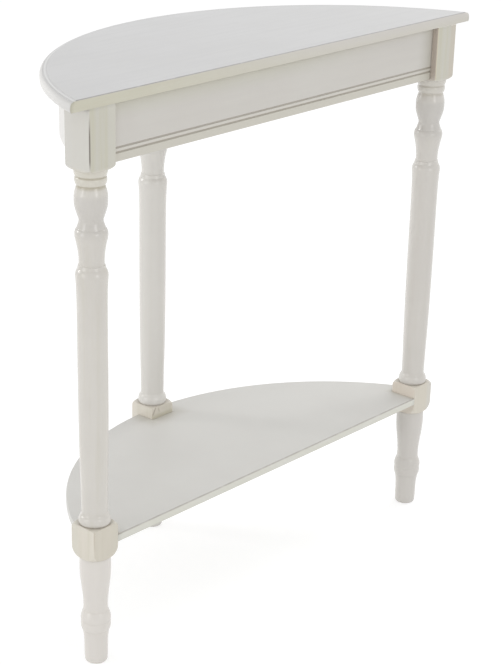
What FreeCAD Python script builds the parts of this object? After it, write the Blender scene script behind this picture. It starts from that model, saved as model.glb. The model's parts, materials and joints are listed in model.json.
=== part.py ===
import FreeCAD, Part
import math
import os

# Demilune side table: a half-moon top on a beaded apron frame, three turned legs and a half-moon shelf.
# Millimetres. +Z is up, X runs along the straight wall side, which faces -Y, and the bow faces +Y.
# The origin is on the floor, at the middle of the table's box.

# Overall sizes
TABLE_HEIGHT = 711.0
TOP_WIDTH = 724.0
TOP_DEPTH = 261.0
TOP_THICKNESS = 13.0
TOP_OVERHANG = 21.5          # curved edge of the top beyond the curved aprons
BOW_PROUD = 12.2             # face of the bow post in front of the curved aprons
APRON_INSET = 1.2            # middle of a curved apron inside the middle of an end post's back face

# Moulded edge of the top, measured inwards from the rim and down from the top face
MOULD_FLAT = 8.4             # where the flat of the top ends
MOULD_STEP = 0.7             # drop at the end of the flat
MOULD_QUIRK = 4.4            # where the narrow band ends in the quirk
MOULD_BAND_DROP = 1.2
MOULD_QUIRK_DROP = 2.1
MOULD_NOSE_RISE = 4.4        # level of the rim's outermost line above the underside
MOULD_UNDERCUT = 1.4         # how far the rim turns under at the bottom

# Legs
LEG_STOCK = 40.0             # square stock of the posts' heads and the shelf blocks
EDGE_EASE = 1.2              # rounding of the square stock's long edges
FOOT_HEIGHT = 146.5
BLOCK_HEIGHT = 43.5
BLOCK_TOP_SHOULDER = 6.0     # height of the turned shoulder at the top of a shelf block
BLOCK_LOW_SHOULDER = 16.0    # and at its bottom
HEAD_SHOULDER = 5.5          # height of the turned shoulder under a post's square head
HEAD_DROP = 3.0              # how far a head reaches below the aprons

# The turned stretches give the depth of cut from the faces of the square stock
HEAD_CUT = 0.7               # just below a post's head
FOOT_CUT = 1.2               # where a foot meets its block

# Turning of a post: distance below the head and depth of cut
COLLAR_RING = [(0.0, HEAD_CUT), (2.6, 0.65), (5.2, 1.1), (7.3, 1.9), (8.4, 2.6)]
COLLAR_BEAD = [(8.8, 2.6), (10.2, 1.85), (12.4, 1.55), (14.8, 1.85), (17.0, 2.6), (18.4, 3.6)]
VASE = [(19.4, 3.6), (23.0, 2.5), (28.0, 1.2), (35.5, 0.75), (43.0, 1.25), (50.0, 3.2), (55.0, 4.9),
        (58.8, 5.9), (63.3, 5.1), (68.8, 3.3)]
UPPER_BEAD = [(69.3, 2.6), (72.5, 1.2), (76.0, 0.8), (81.0, 1.5), (86.0, 2.7), (93.0, 4.0), (104.0, 5.2)]
WAIST = [(104.0, 5.2), (111.2, 5.2), (111.6, 4.4), (116.0, 3.5), (116.5, 3.1)]
LOWER_BEAD = [(116.5, 3.1), (119.5, 1.7), (123.0, 0.9), (127.0, 1.05), (134.0, 1.55), (147.0, 1.95),
              (161.0, 2.15)]

# Tapering column of a post: share of the way down it and depth of cut
COLUMN = [(0.525, 2.4), (0.76, 3.15), (0.895, 3.9)]

# Ring at the bottom of a post: distance above the shelf block and depth of cut
CUSHION_COVE = [(16.8, 4.3), (14.0, 4.1), (11.0, 2.5)]
CUSHION = [(10.6, 2.1), (8.2, 1.2), (4.8, 0.6), (1.6, 0.95), (0.0, 1.8)]

# Turning of a foot: distance above the floor and depth of cut
SOLE_ROUND = [(0.0, 9.0), (1.1, 6.9), (3.6, 5.9)]
ANKLE = [(3.6, 5.9), (22.0, 5.4), (36.0, 4.8), (42.0, 4.0), (45.4, 3.3)]
LOW_RING = [(45.6, 2.8), (48.5, 2.0), (52.8, 1.55), (57.0, 1.95)]
HIGH_RING = [(57.6, 1.95), (61.0, 1.5), (65.5, 2.1), (69.0, 3.2), (72.2, 4.6)]
CALF_START = (73.0, 4.65)

# Upper end of a foot: distance below the shelf block and depth of cut
CALF = [(42.5, 2.95), (31.5, 1.65), (20.0, 0.9), (10.0, 0.85), (0.0, FOOT_CUT)]

# Apron frame
APRON_HEIGHT = 69.0          # of the straight apron
CURVED_HEIGHT = 61.0         # of the curved aprons
APRON_THICKNESS = 16.0
APRON_EASE = 1.5             # rounding of the aprons' lower outer edges
APRON_RECESS = 8.0           # straight apron behind the faces of the end posts
BEAD_RISE = 13.5             # middle of the straight apron's bead above its lower edge
BEAD_SPACING = 5.5           # between the two grooves that leave the bead
GROOVE_RADIUS = 1.3
GROOVE_DEPTH = 1.1

# Shelf
SHELF_DROP = 16.5            # upper face of the shelf below the top of the shelf blocks
SHELF_THICKNESS = 10.0
SHELF_EASE = 1.5             # rounding of the shelf's curved edge
HOUSING_DEPTH = 6.0          # how far the shelf enters a block
HOUSING_STOP = 7.0           # how far an end block's housing stops short of its wall-side face
HOUSING_CLEARANCE = 0.15
TONGUE_REBATE = 1.0          # the shelf's tongues are this much thinner than the shelf on each face

# Studs that clamp post, block and foot, in threaded inserts
STUD_RADIUS = 4.0
STUD_REACH = 16.0            # into the post and into the foot
STUD_CHAMFER = 1.0
STUD_CLEARANCE = 0.3         # in the blocks
INSERT_WALL = 2.0
INSERT_LENGTH = 15.0
FIT_CLEARANCE = 0.1          # dowels, screws, studs and inserts in their holes
BORE_SPARE = 2.0             # bores are this much deeper than what they hold

# Dowels between aprons and posts
DOWEL_RADIUS = 4.0
DOWEL_LENGTH = 28.0
DOWEL_SPACING = 36.0
DOWEL_CHAMFER = 0.8

# Corner braces, glue blocks and cleat under the top
BRACE_HEIGHT = 30.0
BRACE_LEG = 70.0             # along the straight apron, from an end post
BRACE_HIP = 35.0             # along the brace's far side, from the same post
BRACE_RUN = 60.0             # out from the straight apron
SEAT_CLEARANCE = 0.2         # between a block and the curved apron's inner face
GLUE_BLOCK_WIDTH = 26.0
GLUE_BLOCK_DEPTH = 24.0
CLEAT_SIDE = 20.0
CLEAT_LENGTH = 240.0

# Screws
SCREW_LENGTH = 26.0
SCREW_RADIUS = 2.0
SCREW_HEAD_RADIUS = 4.0
SCREW_HEAD_HEIGHT = 2.6
SCREW_TIP = 3.0
SCREW_POINT = 0.5            # radius at the end of the tip
SCREW_COVER = 4.0            # wood left beyond a screw's point
SINK_CLEARANCE = 0.5         # around a screw's head in its counterbore
BRACE_SCREW_STEP = 10.0      # from the top's underside to a brace's first apron screw, and on to its second
STRAIGHT_SCREW_SHARE = 0.64  # place of a brace's screw along its leg
CURVED_SCREW_SHARE = 0.62    # and of the other one along its run
BRACE_TOP_SHARES = (0.31, 0.67)    # place of a brace's screw into the top, along its leg and its run
CLEAT_TOP_SPACING = 160.0
CLEAT_APRON_SPACING = 100.0

# Places worked out from the sizes
V = FreeCAD.Vector
UP = V(0, 0, 1)
HALF_STOCK = LEG_STOCK / 2
CORNER_RADIUS = HALF_STOCK * math.sqrt(2)
WALL_Y = -TOP_DEPTH / 2
BOW_Y = TOP_DEPTH / 2
TOP_RADIUS = (TOP_WIDTH ** 2 / 4 + TOP_DEPTH ** 2) / (2 * TOP_DEPTH)
ARC_Y = BOW_Y - TOP_RADIUS
FRAME_RADIUS = TOP_RADIUS - TOP_OVERHANG
FRAME_MIDDLE = FRAME_RADIUS - APRON_THICKNESS / 2
FRAME_INSIDE = FRAME_RADIUS - APRON_THICKNESS
POST_BACK_Y = WALL_Y + LEG_STOCK
LEG_X = math.sqrt(FRAME_MIDDLE ** 2 - (POST_BACK_Y - ARC_Y) ** 2) + APRON_INSET
POST_INNER_X = LEG_X - HALF_STOCK
BOW_LEG_Y = ARC_Y + FRAME_RADIUS + BOW_PROUD - HALF_STOCK
BOW_POST_INNER_Y = BOW_LEG_Y - HALF_STOCK
GLUE_FACE_Y = ARC_Y + math.sqrt(FRAME_INSIDE ** 2 - HALF_STOCK ** 2)
UNDER_TOP = TABLE_HEIGHT - TOP_THICKNESS
APRON_BOTTOM = UNDER_TOP - APRON_HEIGHT
CURVED_BOTTOM = UNDER_TOP - CURVED_HEIGHT
APRON_FACE_Y = WALL_Y + APRON_RECESS
APRON_INNER_Y = APRON_FACE_Y + APRON_THICKNESS
BEAD_Z = APRON_BOTTOM + BEAD_RISE
GROOVE_HEIGHTS = (BEAD_Z - BEAD_SPACING / 2, BEAD_Z + BEAD_SPACING / 2)
HEAD_BOTTOM = APRON_BOTTOM - HEAD_DROP
JOINT_Z = FOOT_HEIGHT + BLOCK_HEIGHT
SHELF_TOP = JOINT_Z - SHELF_DROP
SHELF_BOTTOM = SHELF_TOP - SHELF_THICKNESS
INSERT_RADIUS = STUD_RADIUS + INSERT_WALL
TOP_BITE = TOP_THICKNESS - SCREW_COVER
APRON_BITE = APRON_THICKNESS - SCREW_COVER
BRACE_BOTTOM = UNDER_TOP - BRACE_HEIGHT
REACH = TOP_WIDTH + TOP_DEPTH      # farther than any piece reaches
LEGS = {"left": V(-LEG_X, WALL_Y + HALF_STOCK, 0), "right": V(LEG_X, WALL_Y + HALF_STOCK, 0),
        "bow": V(0, BOW_LEG_Y, 0)}
SIDES = {"left": -1, "right": 1}


def block(low, high):
    """Box between two corners."""
    return Part.makeBox(high.x - low.x, high.y - low.y, high.z - low.z, low)


def span(side, near, far):
    """Low and high x of a stretch between two distances from the middle, on one side of the table."""
    return sorted((side * near, side * far))


def rod(start, direction, radius, length):
    return Part.makeCylinder(radius, length, start, direction)


def line(points):
    """Straight stretches through (height, radius) points."""
    corners = [V(radius, 0, height) for height, radius in points]
    return [Part.LineSegment(a, b).toShape() for a, b in zip(corners, corners[1:])]


def curve(points):
    """One smooth stretch through (height, radius) points."""
    spline = Part.BSplineCurve()
    spline.interpolate([V(radius, 0, height) for height, radius in points])
    return [spline.toShape()]


def quarter_round(start, corner, end):
    """Quarter of an ellipse from start to end, tangent to the two lines that meet at the corner."""
    bend = Part.BezierCurve()
    bend.setPoles([V(radius, 0, height) for height, radius in (start, corner, end)])
    bend.setWeight(2, math.sqrt(0.5))
    return [bend.toShape()]


def turned(edges, axis):
    """Solid of revolution about a vertical axis, from a profile that runs from one end to the other."""
    first = edges[0].firstVertex(True).Point
    last = edges[-1].lastVertex(True).Point
    inwards = [(last.z, last.x)] if last.x > 0 else []
    outwards = [(first.z, first.x)] if first.x > 0 else []
    closing = line(inwards + [(last.z, 0.0), (first.z, 0.0)] + outwards)
    face = Part.Face(Part.Wire(edges + closing))
    return face.revolve(V(0, 0, 0), UP, 360).translated(axis)


def square_stock(axis, low, high):
    """Length of the legs' square stock with eased long edges."""
    stock = block(V(-HALF_STOCK, -HALF_STOCK, low), V(HALF_STOCK, HALF_STOCK, high))
    long_edges = [edge for edge in stock.Edges if abs(edge.tangentAt(edge.FirstParameter).z) > 0.5]
    return stock.makeFillet(EDGE_EASE, long_edges).translated(axis)


def shoulder(neck_z, neck_radius, square_z):
    """Start, corner and end of a turned shoulder, from a neck out to the corners of the square stock."""
    return (neck_z, neck_radius), (neck_z, CORNER_RADIUS), (square_z, CORNER_RADIUS)


def below_head(points):
    return [(HEAD_BOTTOM - drop, HALF_STOCK - cut) for drop, cut in points]


def above_joint(points):
    return [(JOINT_Z + rise, HALF_STOCK - cut) for rise, cut in points]


def below_block(points):
    return [(FOOT_HEIGHT - drop, HALF_STOCK - cut) for drop, cut in points]


def above_floor(points):
    return [(rise, HALF_STOCK - cut) for rise, cut in points]


def column(head, ring):
    """Points of a post's long taper, from the end of the bead under its head to the start of its ring."""
    length = head[0] - ring[0]
    return [head] + [(head[0] - share * length, HALF_STOCK - cut) for share, cut in COLUMN] + [ring]


def post(axis):
    """Upper leg: a square head on a turned collar, vase, two beads, a tapering column and a cushion ring."""
    ring = below_head(COLLAR_RING)
    bead = below_head(COLLAR_BEAD)
    vase = below_head(VASE)
    upper_bead = below_head(UPPER_BEAD)
    lower_bead = below_head(LOWER_BEAD)
    cove = above_joint(CUSHION_COVE)
    cushion = above_joint(CUSHION)
    edges = curve(ring) + line([ring[-1], bead[0]]) + curve(bead)
    edges += line([bead[-1], vase[0]]) + curve(vase)
    edges += line([vase[-1], upper_bead[0]]) + curve(upper_bead)
    edges += line(below_head(WAIST)) + curve(lower_bead)
    edges += curve(column(lower_bead[-1], cove[0])) + curve(cove)
    edges += line([cove[-1], cushion[0]]) + curve(cushion)
    stem = turned(edges, axis)
    under = shoulder(HEAD_BOTTOM, HALF_STOCK - HEAD_CUT, HEAD_BOTTOM + HEAD_SHOULDER)
    limit = quarter_round(*under) + line([under[-1], (UNDER_TOP, CORNER_RADIUS)])
    head = square_stock(axis, HEAD_BOTTOM, UNDER_TOP).common(turned(limit, axis))
    return stem.fuse(head).removeSplitter().cut(insert_bore(axis, JOINT_Z, UP))


def foot(axis):
    """Lower leg: a calf that narrows to two rings, a slim ankle and a rounded sole."""
    ankle = above_floor(ANKLE)
    low_ring = above_floor(LOW_RING)
    high_ring = above_floor(HIGH_RING)
    calf = above_floor([CALF_START]) + below_block(CALF)
    edges = curve(above_floor(SOLE_ROUND)) + curve(ankle)
    edges += line([ankle[-1], low_ring[0]]) + curve(low_ring)
    edges += line([low_ring[-1], high_ring[0]]) + curve(high_ring)
    edges += line([high_ring[-1], calf[0]]) + curve(calf)
    return turned(edges, axis).cut(insert_bore(axis, FOOT_HEIGHT, -UP))


def shelf_block(axis, housing):
    """Square block with turned shoulders, bored for the stud and housed for the shelf's tongues."""
    lower = shoulder(FOOT_HEIGHT, HALF_STOCK - FOOT_CUT, FOOT_HEIGHT + BLOCK_LOW_SHOULDER)
    upper = shoulder(JOINT_Z, HALF_STOCK, JOINT_Z - BLOCK_TOP_SHOULDER)
    limit = quarter_round(*lower) + line([lower[-1], upper[-1]]) + quarter_round(*reversed(upper))
    solid = square_stock(axis, FOOT_HEIGHT, JOINT_Z).common(turned(limit, axis))
    bore = rod(axis + UP * FOOT_HEIGHT, UP, STUD_RADIUS + STUD_CLEARANCE, BLOCK_HEIGHT)
    return solid.cut(bore).cut(housing)


def insert_bore(axis, face_z, direction):
    """Stepped bore for a threaded insert and the stud's end, from a joint's face."""
    mouth = axis + UP * face_z
    wide = rod(mouth, direction, INSERT_RADIUS + FIT_CLEARANCE, INSERT_LENGTH)
    deep = rod(mouth, direction, STUD_RADIUS + FIT_CLEARANCE, STUD_REACH + BORE_SPARE)
    return wide.fuse(deep)


def threaded_insert(axis, face_z, direction):
    mouth = axis + UP * face_z
    sleeve = rod(mouth, direction, INSERT_RADIUS, INSERT_LENGTH)
    return sleeve.cut(rod(mouth, direction, STUD_RADIUS + FIT_CLEARANCE, INSERT_LENGTH))


def pin(low, high, radius, chamfer):
    """Upright pin on the Z axis with chamfered ends."""
    small = radius - chamfer
    return turned(line([(low, small), (low + chamfer, radius), (high - chamfer, radius), (high, small)]), V())


def stud(axis):
    return pin(FOOT_HEIGHT - STUD_REACH, JOINT_Z + STUD_REACH, STUD_RADIUS, STUD_CHAMFER).translated(axis)


def behind_wall(low, high):
    """Room on the bow side of the wall plane, between two heights."""
    return block(V(-REACH, WALL_Y, low), V(REACH, REACH, high))


def top_panel():
    """Half-moon top: its moulded rim is turned about the plan's centre and the wall side is cut straight."""
    nose_z = UNDER_TOP + MOULD_NOSE_RISE
    quirk_z = TABLE_HEIGHT - MOULD_QUIRK_DROP
    under_radius = TOP_RADIUS - MOULD_UNDERCUT
    quirk_radius = TOP_RADIUS - MOULD_QUIRK
    flat_radius = TOP_RADIUS - MOULD_FLAT
    edges = quarter_round((UNDER_TOP, under_radius), (UNDER_TOP, TOP_RADIUS), (nose_z, TOP_RADIUS))
    edges += quarter_round((nose_z, TOP_RADIUS), (quirk_z, TOP_RADIUS), (quirk_z, quirk_radius))
    band = [(TABLE_HEIGHT - MOULD_BAND_DROP, quirk_radius), (TABLE_HEIGHT - MOULD_STEP, flat_radius)]
    edges += line([(quirk_z, quirk_radius)] + band + [(TABLE_HEIGHT, flat_radius), (TABLE_HEIGHT, 0.0)])
    panel = turned(edges, V(0, ARC_Y, 0)).common(behind_wall(UNDER_TOP, TABLE_HEIGHT))
    for place in top_screw_places():
        panel = panel.cut(screw_bore(place, UP, TOP_BITE))
    return panel


def straight_apron():
    """Wall-side apron between the end posts, with a bead scratched near its eased lower edge."""
    board = block(V(-POST_INNER_X, APRON_FACE_Y, APRON_BOTTOM), V(POST_INNER_X, APRON_INNER_Y, UNDER_TOP))
    front = [edge for edge in board.Edges if edge.BoundBox.YMax < APRON_INNER_Y]
    apron = board.makeFillet(APRON_EASE, [edge for edge in front if edge.BoundBox.ZMax < UNDER_TOP])
    for height in GROOVE_HEIGHTS:
        start = V(-REACH, APRON_FACE_Y - GROOVE_RADIUS + GROOVE_DEPTH, height)
        apron = apron.cut(rod(start, V(1, 0, 0), GROOVE_RADIUS, 2 * REACH))
    for side in SIDES.values():
        apron = apron.cut(dowel_bores(*straight_end(side)))
        apron = apron.cut(screw_bore(*straight_brace_screw(side), APRON_BITE))
        apron = apron.cut(screw_bore(*cleat_apron_screw(side), APRON_BITE))
    return apron


def curved_apron(side):
    """Plain bent apron from an end post to the bow post, with an eased lower edge."""
    low = CURVED_BOTTOM
    rim = FRAME_RADIUS
    edges = line([(low, 0.0), (low, rim - APRON_EASE)])
    edges += quarter_round((low, rim - APRON_EASE), (low, rim), (low + APRON_EASE, rim))
    edges += line([(low + APRON_EASE, rim), (UNDER_TOP, rim), (UNDER_TOP, 0.0)])
    ring = turned(edges, V(0, ARC_Y, 0)).cut(rod(V(0, ARC_Y, low), UP, FRAME_INSIDE, CURVED_HEIGHT))
    left, right = span(side, HALF_STOCK, REACH)
    apron = ring.common(block(V(left, POST_BACK_Y, low), V(right, REACH, UNDER_TOP)))
    for end in curved_ends(side):
        apron = apron.cut(dowel_bores(*end))
    return apron.cut(screw_bore(*curved_brace_screw(side), APRON_BITE))


def straight_end(side):
    """Middle of the straight apron's end face and the direction out of the apron."""
    middle = V(side * POST_INNER_X, APRON_FACE_Y + APRON_THICKNESS / 2, UNDER_TOP - APRON_HEIGHT / 2)
    return middle, V(side, 0, 0)


def curved_ends(side):
    """Middles of a curved apron's two end faces, each with the apron's direction there, out of the apron."""
    middle_z = UNDER_TOP - CURVED_HEIGHT / 2
    at_post = V(side * (LEG_X - APRON_INSET), POST_BACK_Y, middle_z)
    at_bow = V(side * HALF_STOCK, ARC_Y + math.sqrt(FRAME_MIDDLE ** 2 - HALF_STOCK ** 2), middle_z)
    ends = []
    for point, turn in ((at_post, -side), (at_bow, side)):
        spoke = V(point.x, point.y - ARC_Y, 0).normalize()
        ends.append((point, UP.cross(spoke) * turn))
    return ends


def apron_ends():
    """Every apron end, as the middle of its face and the direction out of the apron."""
    ends = []
    for side in SIDES.values():
        ends.append(straight_end(side))
        ends += curved_ends(side)
    return ends


def dowel_centres(point):
    """Centres of the two dowels that cross a joint."""
    return [point + UP * (step * DOWEL_SPACING / 2) for step in (-1, 1)]


def dowel_bores(point, direction):
    half = DOWEL_LENGTH / 2 + BORE_SPARE
    bores = [rod(centre - direction * half, direction, DOWEL_RADIUS + FIT_CLEARANCE, 2 * half)
             for centre in dowel_centres(point)]
    return Part.makeCompound(bores)


def dowels(point, direction):
    pegs = []
    for centre in dowel_centres(point):
        peg = pin(-DOWEL_LENGTH / 2, DOWEL_LENGTH / 2, DOWEL_RADIUS, DOWEL_CHAMFER)
        peg.Placement = FreeCAD.Placement(centre, FreeCAD.Rotation(UP, direction))
        pegs.append(peg)
    return pegs


def shelf_board(low, high, rim):
    """Half-moon board between two heights, with an eased curved edge."""
    flat = rim - SHELF_EASE
    edges = line([(low, 0.0), (low, flat)])
    edges += quarter_round((low, flat), (low, rim), (low + SHELF_EASE, rim))
    edges += line([(low + SHELF_EASE, rim), (high - SHELF_EASE, rim)])
    edges += quarter_round((high - SHELF_EASE, rim), (high, rim), (high, flat))
    edges += line([(high, flat), (high, 0.0)])
    return turned(edges, V(0, ARC_Y, 0)).common(behind_wall(low, high))


def shelf_tongues(grow):
    """Thinner board whose edges stand in the three blocks' housings; grow widens it all round."""
    low = SHELF_BOTTOM + TONGUE_REBATE - grow
    high = SHELF_TOP - TONGUE_REBATE + grow
    depth = HOUSING_DEPTH + grow
    board = shelf_board(low, high, FRAME_RADIUS + grow)
    for side in SIDES.values():
        left, right = span(side, POST_INNER_X + depth, REACH)
        board = board.cut(block(V(left, -REACH, low), V(right, POST_BACK_Y - depth, high)))
        left, right = span(side, POST_INNER_X, REACH)
        board = board.cut(block(V(left, -REACH, low), V(right, WALL_Y + HOUSING_STOP - grow, high)))
    bow_notch = HALF_STOCK - depth
    return board.cut(block(V(-bow_notch, BOW_POST_INNER_Y + depth, low), V(bow_notch, REACH, high)))


def shelf_panel():
    """Half-moon shelf cut round the three blocks, with tongues that enter their housings."""
    low = SHELF_BOTTOM
    high = SHELF_TOP
    play = HOUSING_CLEARANCE
    board = shelf_board(low, high, FRAME_RADIUS)
    for side in SIDES.values():
        left, right = span(side, POST_INNER_X - play, REACH)
        board = board.cut(block(V(left, -REACH, low), V(right, POST_BACK_Y + play, high)))
    notch = HALF_STOCK + play
    board = board.cut(block(V(-notch, BOW_POST_INNER_Y - play, low), V(notch, REACH, high)))
    return board.fuse(shelf_tongues(0.0)).removeSplitter()


def inside_frame():
    """Room for the blocks that seat against the curved aprons under the top."""
    return rod(V(0, ARC_Y, BRACE_BOTTOM), UP, FRAME_INSIDE - SEAT_CLEARANCE, BRACE_HEIGHT)


def corner_brace(side):
    """Notched block that ties an end post to the straight and the curved apron under the top."""
    far_y = APRON_INNER_Y + BRACE_RUN
    plan = [(POST_INNER_X - BRACE_LEG, APRON_INNER_Y), (REACH, APRON_INNER_Y), (REACH, far_y),
            (POST_INNER_X - BRACE_HIP, far_y)]
    corners = [V(side * x, y, BRACE_BOTTOM) for x, y in plan]
    wedge = Part.Face(Part.makePolygon(corners + corners[:1])).extrude(UP * BRACE_HEIGHT)
    left, right = span(side, POST_INNER_X, REACH)
    post_room = block(V(left, -REACH, BRACE_BOTTOM), V(right, POST_BACK_Y, UNDER_TOP))
    wedge = wedge.common(inside_frame()).cut(post_room)
    for screw_place in (straight_brace_screw(side), curved_brace_screw(side)):
        wedge = wedge.cut(screw_way(*screw_place, APRON_BITE))
    return wedge.cut(screw_way(brace_top_place(side), UP, TOP_BITE))


def straight_brace_screw(side):
    """Where a brace's screw enters the straight apron, and its direction."""
    x = POST_INNER_X - BRACE_LEG * STRAIGHT_SCREW_SHARE
    return V(side * x, APRON_INNER_Y, UNDER_TOP - BRACE_SCREW_STEP), V(0, -1, 0)


def curved_brace_screw(side):
    """Where a brace's screw enters the curved apron, and its direction."""
    rise = APRON_INNER_Y + BRACE_RUN * CURVED_SCREW_SHARE - ARC_Y
    spoke = V(side * math.sqrt(FRAME_INSIDE ** 2 - rise ** 2), rise, 0)
    return V(spoke.x, ARC_Y + rise, UNDER_TOP - 2 * BRACE_SCREW_STEP), spoke.normalize()


def brace_top_place(side):
    along_leg, along_run = BRACE_TOP_SHARES
    return V(side * (POST_INNER_X - BRACE_LEG * along_leg), APRON_INNER_Y + BRACE_RUN * along_run, UNDER_TOP)


def glue_block(side):
    """Block glued into the corner of the bow post and a curved apron."""
    left, right = span(side, HALF_STOCK, HALF_STOCK + GLUE_BLOCK_WIDTH)
    solid = block(V(left, GLUE_FACE_Y - GLUE_BLOCK_DEPTH, BRACE_BOTTOM), V(right, GLUE_FACE_Y, UNDER_TOP))
    return solid.common(inside_frame()).cut(screw_way(glue_top_place(side), UP, TOP_BITE))


def glue_top_place(side):
    return V(side * (HALF_STOCK + GLUE_BLOCK_WIDTH / 2), GLUE_FACE_Y - GLUE_BLOCK_DEPTH / 2, UNDER_TOP)


def apron_cleat():
    """Strip under the middle of the wall side, screwed to the straight apron and to the top."""
    cleat = block(V(-CLEAT_LENGTH / 2, APRON_INNER_Y, UNDER_TOP - CLEAT_SIDE),
                  V(CLEAT_LENGTH / 2, APRON_INNER_Y + CLEAT_SIDE, UNDER_TOP))
    for side in SIDES.values():
        cleat = cleat.cut(screw_way(*cleat_apron_screw(side), APRON_BITE))
        cleat = cleat.cut(screw_way(cleat_top_place(side), UP, TOP_BITE))
    return cleat


def cleat_apron_screw(side):
    """Where a cleat's screw enters the straight apron, and its direction."""
    return V(side * CLEAT_APRON_SPACING / 2, APRON_INNER_Y, UNDER_TOP - CLEAT_SIDE / 2), V(0, -1, 0)


def cleat_top_place(side):
    return V(side * CLEAT_TOP_SPACING / 2, APRON_INNER_Y + CLEAT_SIDE / 2, UNDER_TOP)


def top_screw_places():
    return [place(side) for side in SIDES.values()
            for place in (brace_top_place, glue_top_place, cleat_top_place)]


def apron_screw_places():
    return [place(side) for side in SIDES.values()
            for place in (straight_brace_screw, curved_brace_screw, cleat_apron_screw)]


def screw(start, direction, bite):
    """Countersunk wood screw whose point stands a bite's length past the joint's face."""
    head = bite - SCREW_LENGTH
    body = turned(line([(head, SCREW_HEAD_RADIUS), (head + SCREW_HEAD_HEIGHT, SCREW_RADIUS),
                        (bite - SCREW_TIP, SCREW_RADIUS), (bite, SCREW_POINT)]), V())
    body.Placement = FreeCAD.Placement(start, FreeCAD.Rotation(UP, direction))
    return body


def screw_bore(start, direction, bite):
    """Pilot bore for a screw's point, from just before the joint's face."""
    mouth = start - direction * SEAT_CLEARANCE
    return rod(mouth, direction, SCREW_RADIUS + FIT_CLEARANCE, SEAT_CLEARANCE + bite + BORE_SPARE)


def screw_way(start, direction, bite):
    """Clearance hole, countersink and counterbore for a screw through the piece that it holds."""
    grip = SCREW_LENGTH - bite
    head = start - direction * grip
    hole = rod(head, direction, SCREW_RADIUS + FIT_CLEARANCE, grip)
    sink = Part.makeCone(SCREW_HEAD_RADIUS + FIT_CLEARANCE, SCREW_RADIUS + FIT_CLEARANCE, SCREW_HEAD_HEIGHT,
                         head, direction)
    counterbore = rod(head, -direction, SCREW_HEAD_RADIUS + SINK_CLEARANCE, REACH)
    return hole.fuse(sink).fuse(counterbore)


def build():
    parts = {"top_panel": top_panel(), "straight_apron": straight_apron(), "apron_cleat": apron_cleat()}
    parts["shelf_panel"] = shelf_panel()
    housing = shelf_tongues(HOUSING_CLEARANCE)
    peg_bores = Part.makeCompound([dowel_bores(*end) for end in apron_ends()])
    for name, axis in LEGS.items():
        parts[name + "_post"] = post(axis).cut(peg_bores)
        parts[name + "_shelf_block"] = shelf_block(axis, housing)
        parts[name + "_foot"] = foot(axis)
    for name, side in SIDES.items():
        parts[name + "_curved_apron"] = curved_apron(side)
        parts[name + "_corner_brace"] = corner_brace(side)
        parts[name + "_glue_block"] = glue_block(side)
    inserts = [threaded_insert(axis, face_z, way) for axis in LEGS.values()
               for face_z, way in ((JOINT_Z, UP), (FOOT_HEIGHT, -UP))]
    pegs = [peg for end in apron_ends() for peg in dowels(*end)]
    parts["leg_studs"] = Part.makeCompound([stud(axis) for axis in LEGS.values()])
    parts["leg_inserts"] = Part.makeCompound(inserts)
    parts["apron_dowels"] = Part.makeCompound(pegs)
    parts["brace_screws"] = Part.makeCompound([screw(*place, APRON_BITE) for place in apron_screw_places()])
    parts["top_screws"] = Part.makeCompound([screw(place, UP, TOP_BITE) for place in top_screw_places()])
    return parts


os.makedirs("parts", exist_ok=True)
for node, shape in build().items():
    shape.exportStep("parts/" + node + ".step")
    solids = shape.Solids
    print(node, len(solids), "solids", round(sum(solid.Volume for solid in solids)), "mm3", shape.isValid())
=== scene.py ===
# %% [markdown]
# # A half-moon side table in worn white paint
# The table stands with its straight side against a wall. A half-moon top with a moulded rim rests on three
# aprons and three legs, and each leg is a turned post, a square block and a turned foot. A half-moon shelf
# enters the blocks. The solid model gives every size and place. This lesson dresses it: the painted pieces
# are made again as smooth surfaces with the soft edges that paint leaves, and each finish is built from
# nodes.

import json
from types import SimpleNamespace

import bpy
import numpy as np
from mathutils import Matrix, Vector


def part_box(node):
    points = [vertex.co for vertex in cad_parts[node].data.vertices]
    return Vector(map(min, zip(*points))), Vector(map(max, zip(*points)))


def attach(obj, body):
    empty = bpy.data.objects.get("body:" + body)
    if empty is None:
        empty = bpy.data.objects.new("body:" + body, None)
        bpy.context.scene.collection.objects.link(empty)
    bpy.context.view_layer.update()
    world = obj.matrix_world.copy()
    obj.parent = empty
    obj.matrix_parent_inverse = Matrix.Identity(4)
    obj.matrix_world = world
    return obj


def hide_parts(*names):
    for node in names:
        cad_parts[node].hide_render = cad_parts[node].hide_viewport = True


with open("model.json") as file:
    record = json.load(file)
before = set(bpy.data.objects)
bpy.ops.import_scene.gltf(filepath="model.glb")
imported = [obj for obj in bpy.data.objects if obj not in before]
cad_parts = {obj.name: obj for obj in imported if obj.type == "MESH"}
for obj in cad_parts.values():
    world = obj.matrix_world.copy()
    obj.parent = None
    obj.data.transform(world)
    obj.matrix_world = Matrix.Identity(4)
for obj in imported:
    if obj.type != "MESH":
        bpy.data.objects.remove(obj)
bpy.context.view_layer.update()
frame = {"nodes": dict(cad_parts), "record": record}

# %% [markdown]
# ## The camera
# The photograph was taken from the left, in front of the wall side and above the top. A camera could be
# moved by hand until the picture looks right, but here its place, heading, tilt and roll were worked out
# from the corners of the top, the blocks and the feet, so the picture lines up with the real table. The
# picture is a part of a larger one, so its middle lies away from the lens axis, and the two shift values
# say by how much.

# %% Place the camera
PICTURE_WIDTH = 503
PICTURE_HEIGHT = 664
FOCAL_PIXELS = 1846.1
LENS_AXIS = (240.87, 445.61)           # where the lens axis meets the picture, from its left and upper edges
CAMERA_PLACE = Vector((-1.68351, -1.54430, 1.18790))
HEADING, TILT, ROLL = 0.84952, 0.42471, 0.02409


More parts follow.
